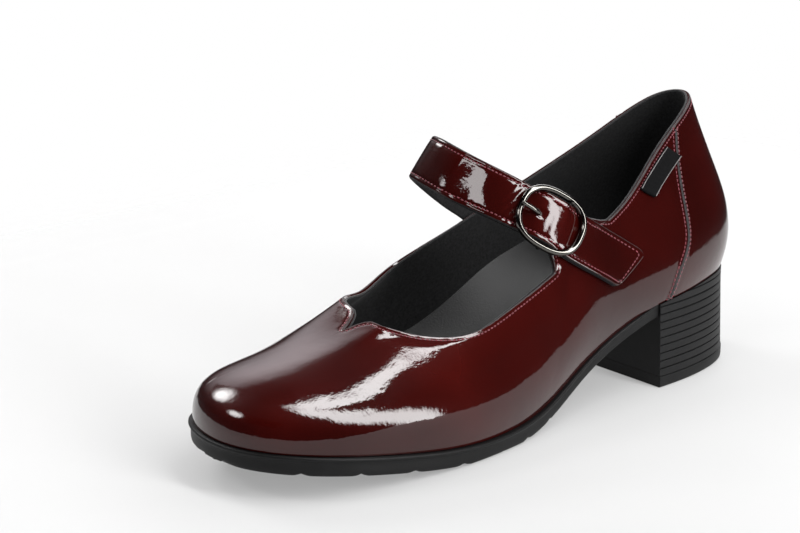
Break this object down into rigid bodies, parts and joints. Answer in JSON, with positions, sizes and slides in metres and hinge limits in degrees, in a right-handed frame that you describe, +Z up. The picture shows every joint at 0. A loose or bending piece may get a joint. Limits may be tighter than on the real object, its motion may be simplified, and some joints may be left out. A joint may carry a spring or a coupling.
{
  "type": "mary jane pump",
  "caption": "Left low-throated patent leather shoe with an instep strap, an oval buckle, a thin sole and a low block heel.",
  "frame": {"origin": "on the floor, under the middle of the heel's flat underside", "axes": "+X points to the toe, +Y to the wearer's left, which is this left shoe's outer side, and +Z up"},
  "size_m": [0.2511, 0.0864, 0.107],
  "materials": {
    "upper_patent": "high-gloss burgundy patent",
    "sole_rubber": "matt black",
    "lift_rubber": "matt black",
    "heel_stack": "matt black, grooved",
    "insole_leather": "soft matt dark grey",
    "buckle_metal": "polished gunmetal",
    "tab_fabric": "woven, plain"
  },
  "bodies": {
    "root": {"upper": "upper_patent", "outsole": "sole_rubber", "heel_block": "heel_stack", "heel_lift": "lift_rubber", "insole": "insole_leather", "strap": "upper_patent", "buckle_frame": "buckle_metal", "buckle_prong": "buckle_metal", "side_tab": "tab_fabric"}
  },
  "joints": []
}
